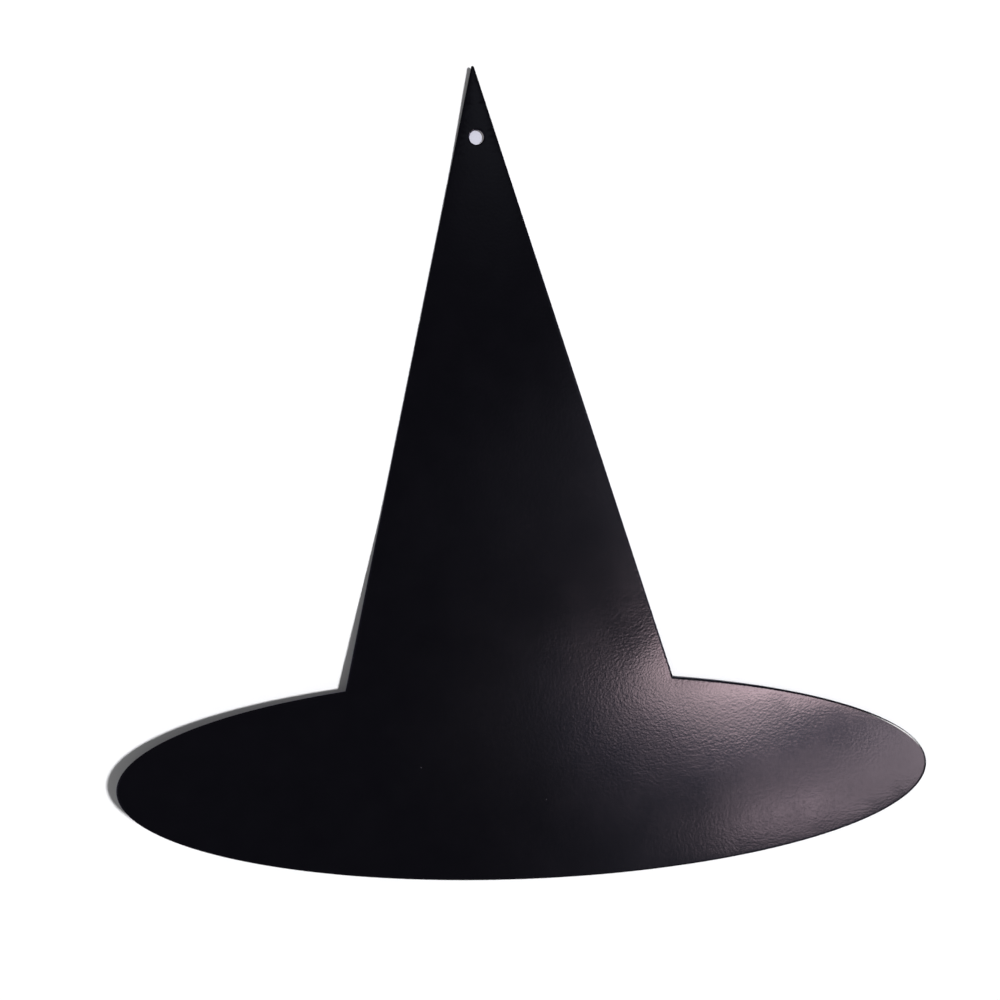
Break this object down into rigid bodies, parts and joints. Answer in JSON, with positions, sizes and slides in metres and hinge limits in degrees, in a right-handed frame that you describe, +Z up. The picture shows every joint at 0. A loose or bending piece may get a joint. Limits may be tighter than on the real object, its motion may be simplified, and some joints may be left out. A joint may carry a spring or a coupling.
{
  "type": "witch hat wall hanging",
  "caption": "Flat sheet-metal wall hanging in the outline of a witch's hat, powder coated black, with a round hanging hole near the tip.",
  "frame": {"origin": "middle of the hanging hole, in the plane of the coated back", "axes": "+Z up towards the tip, +Y from the front of the hat to the wall behind it, +X to the right for someone who faces the front"},
  "size_m": [0.4, 0.0014, 0.398],
  "materials": {
    "steel_sheet": "satin",
    "black_powder_coat": "satin"
  },
  "bodies": {
    "root": {"sheet_core": "steel_sheet", "powder_coat": "black_powder_coat"}
  },
  "joints": []
}
